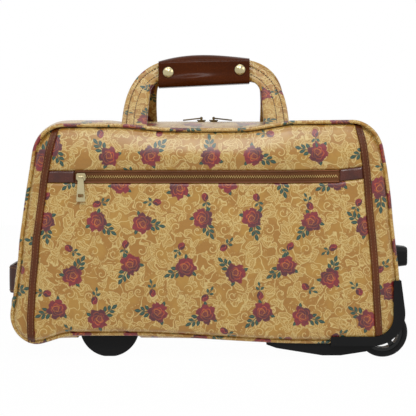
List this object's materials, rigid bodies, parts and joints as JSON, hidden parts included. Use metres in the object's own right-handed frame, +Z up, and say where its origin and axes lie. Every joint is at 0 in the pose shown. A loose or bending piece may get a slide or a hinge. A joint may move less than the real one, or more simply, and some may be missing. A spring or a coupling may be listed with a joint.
{
  "type": "rolling_duffel",
  "caption": "Rolling duffel with a rose-printed canvas body, leather trim, brass zips, carry handles, telescopic pull handle, wheels and stand feet.",
  "frame": {"origin": "centre of the bounding box on the floor, bag lying on its wheels and stand feet", "axes": "+X along the bag towards the wheels, +Y to the rear, front pocket faces -Y, +Z up"},
  "size_m": [0.5657, 0.2515, 0.43],
  "materials": {
    "printed_canvas": "coated canvas, semi-gloss",
    "brown_leather": "polished",
    "zip_tape": "woven",
    "zip_brass": "aged",
    "black_plastic": "fine grain",
    "release_plastic": "gloss",
    "wheel_rubber": "matte",
    "tube_aluminium": "anodised",
    "plain_steel": "zinc plated",
    "base_sheet": "sheet"
  },
  "bodies": {
    "bag": {"base_board": "base_sheet", "base_panel": "printed_canvas", "foot_screws": "plain_steel", "front_axle_bolt": "plain_steel", "front_handle": "printed_canvas", "front_panel": "printed_canvas", "front_piping": "printed_canvas", "front_stand_foot": "black_plastic", "front_stand_peg": "black_plastic", "front_wheel_housing": "black_plastic", "grab_handle": "brown_leather", "grab_rivets": "zip_brass", "handle_bezel": "black_plastic", "handle_wrap": "brown_leather", "left_end_panel": "printed_canvas", "left_strip": "brown_leather", "left_zip_tab": "brown_leather", "main_zip_chain": "zip_brass", "main_zip_tape": "zip_tape", "outer_tubes": "tube_aluminium", "peg_screws": "plain_steel", "pocket_lower_panel": "printed_canvas", "pocket_upper_panel": "printed_canvas", "pocket_zip_tape": "zip_tape", "pocket_zip_teeth": "zip_brass", "rear_axle_bolt": "plain_steel", "rear_handle": "printed_canvas", "rear_panel": "printed_canvas", "rear_piping": "printed_canvas", "rear_stand_foot": "black_plastic", "rear_stand_peg": "black_plastic", "rear_wheel_housing": "black_plastic", "right_end_panel": "printed_canvas", "right_strip": "brown_leather", "right_zip_tab": "brown_leather", "snap_caps": "zip_brass", "top_panel_front": "printed_canvas", "top_panel_rear": "printed_canvas", "tube_bracket": "black_plastic", "tube_saddle": "black_plastic"},
    "pocket_slider": {"pocket_slider": "zip_brass"},
    "pocket_pull": {"pocket_pull": "zip_brass"},
    "left_top_slider": {"left_top_slider": "zip_brass"},
    "left_top_pull": {"left_top_pull": "zip_brass"},
    "right_top_slider": {"right_top_slider": "zip_brass"},
    "right_top_pull": {"right_top_pull": "zip_brass"},
    "handle_stage_1": {"mid_tubes": "tube_aluminium", "mid_tube_glides": "black_plastic"},
    "handle_stage_2": {"inner_tubes": "tube_aluminium", "inner_tube_glides": "black_plastic", "handle_grip": "black_plastic"},
    "release": {"release_button": "release_plastic", "release_rods": "plain_steel"},
    "front_wheel": {"front_tyre": "wheel_rubber", "front_rim": "black_plastic", "front_bearings": "plain_steel"},
    "rear_wheel": {"rear_tyre": "wheel_rubber", "rear_rim": "black_plastic", "rear_bearings": "plain_steel"}
  },
  "joints": [
    {"name": "front_wheel_spin", "type": "hinge", "parent": "bag", "child": "front_wheel", "pos_m": [0.246, -0.089, 0.035], "axis": [0, 1, 0], "continuous": true},
    {"name": "rear_wheel_spin", "type": "hinge", "parent": "bag", "child": "rear_wheel", "pos_m": [0.246, 0.089, 0.035], "axis": [0, 1, 0], "continuous": true},
    {"name": "handle_stage_1_slide", "type": "slide", "parent": "bag", "child": "handle_stage_1", "axis": [-1, 0, 0], "range_m": [0, 0.26]},
    {"name": "handle_stage_2_slide", "type": "slide", "parent": "handle_stage_1", "child": "handle_stage_2", "axis": [-1, 0, 0], "range_m": [0, 0.24]},
    {"name": "release_press", "type": "slide", "parent": "handle_stage_2", "child": "release", "axis": [1, 0, 0], "range_m": [0, 0.004], "stiffness_N_per_m": 800, "springref_m": -0.001},
    {"name": "pocket_zip_slide", "type": "slide", "parent": "bag", "child": "pocket_slider", "axis": [1, 0, 0], "range_m": [0, 0.3465]},
    {"name": "pocket_pull_swing", "type": "hinge", "parent": "pocket_slider", "child": "pocket_pull", "pos_m": [-0.1745, -0.1265, 0.2538], "axis": [-1, 0, 0], "range_deg": [0, 150]},
    {"name": "left_top_zip_slide", "type": "slide", "parent": "bag", "child": "left_top_slider", "axis": [-1, 0, 0], "range_m": [0, 0.17]},
    {"name": "left_top_pull_swing", "type": "hinge", "parent": "left_top_slider", "child": "left_top_pull", "pos_m": [-0.009, 0, 0.3368], "axis": [0, 1, 0], "range_deg": [0, 95]},
    {"name": "right_top_zip_slide", "type": "slide", "parent": "bag", "child": "right_top_slider", "axis": [1, 0, 0], "range_m": [0, 0.17]},
    {"name": "right_top_pull_swing", "type": "hinge", "parent": "right_top_slider", "child": "right_top_pull", "pos_m": [0.009, 0, 0.3368], "axis": [0, -1, 0], "range_deg": [0, 95]}
  ]
}
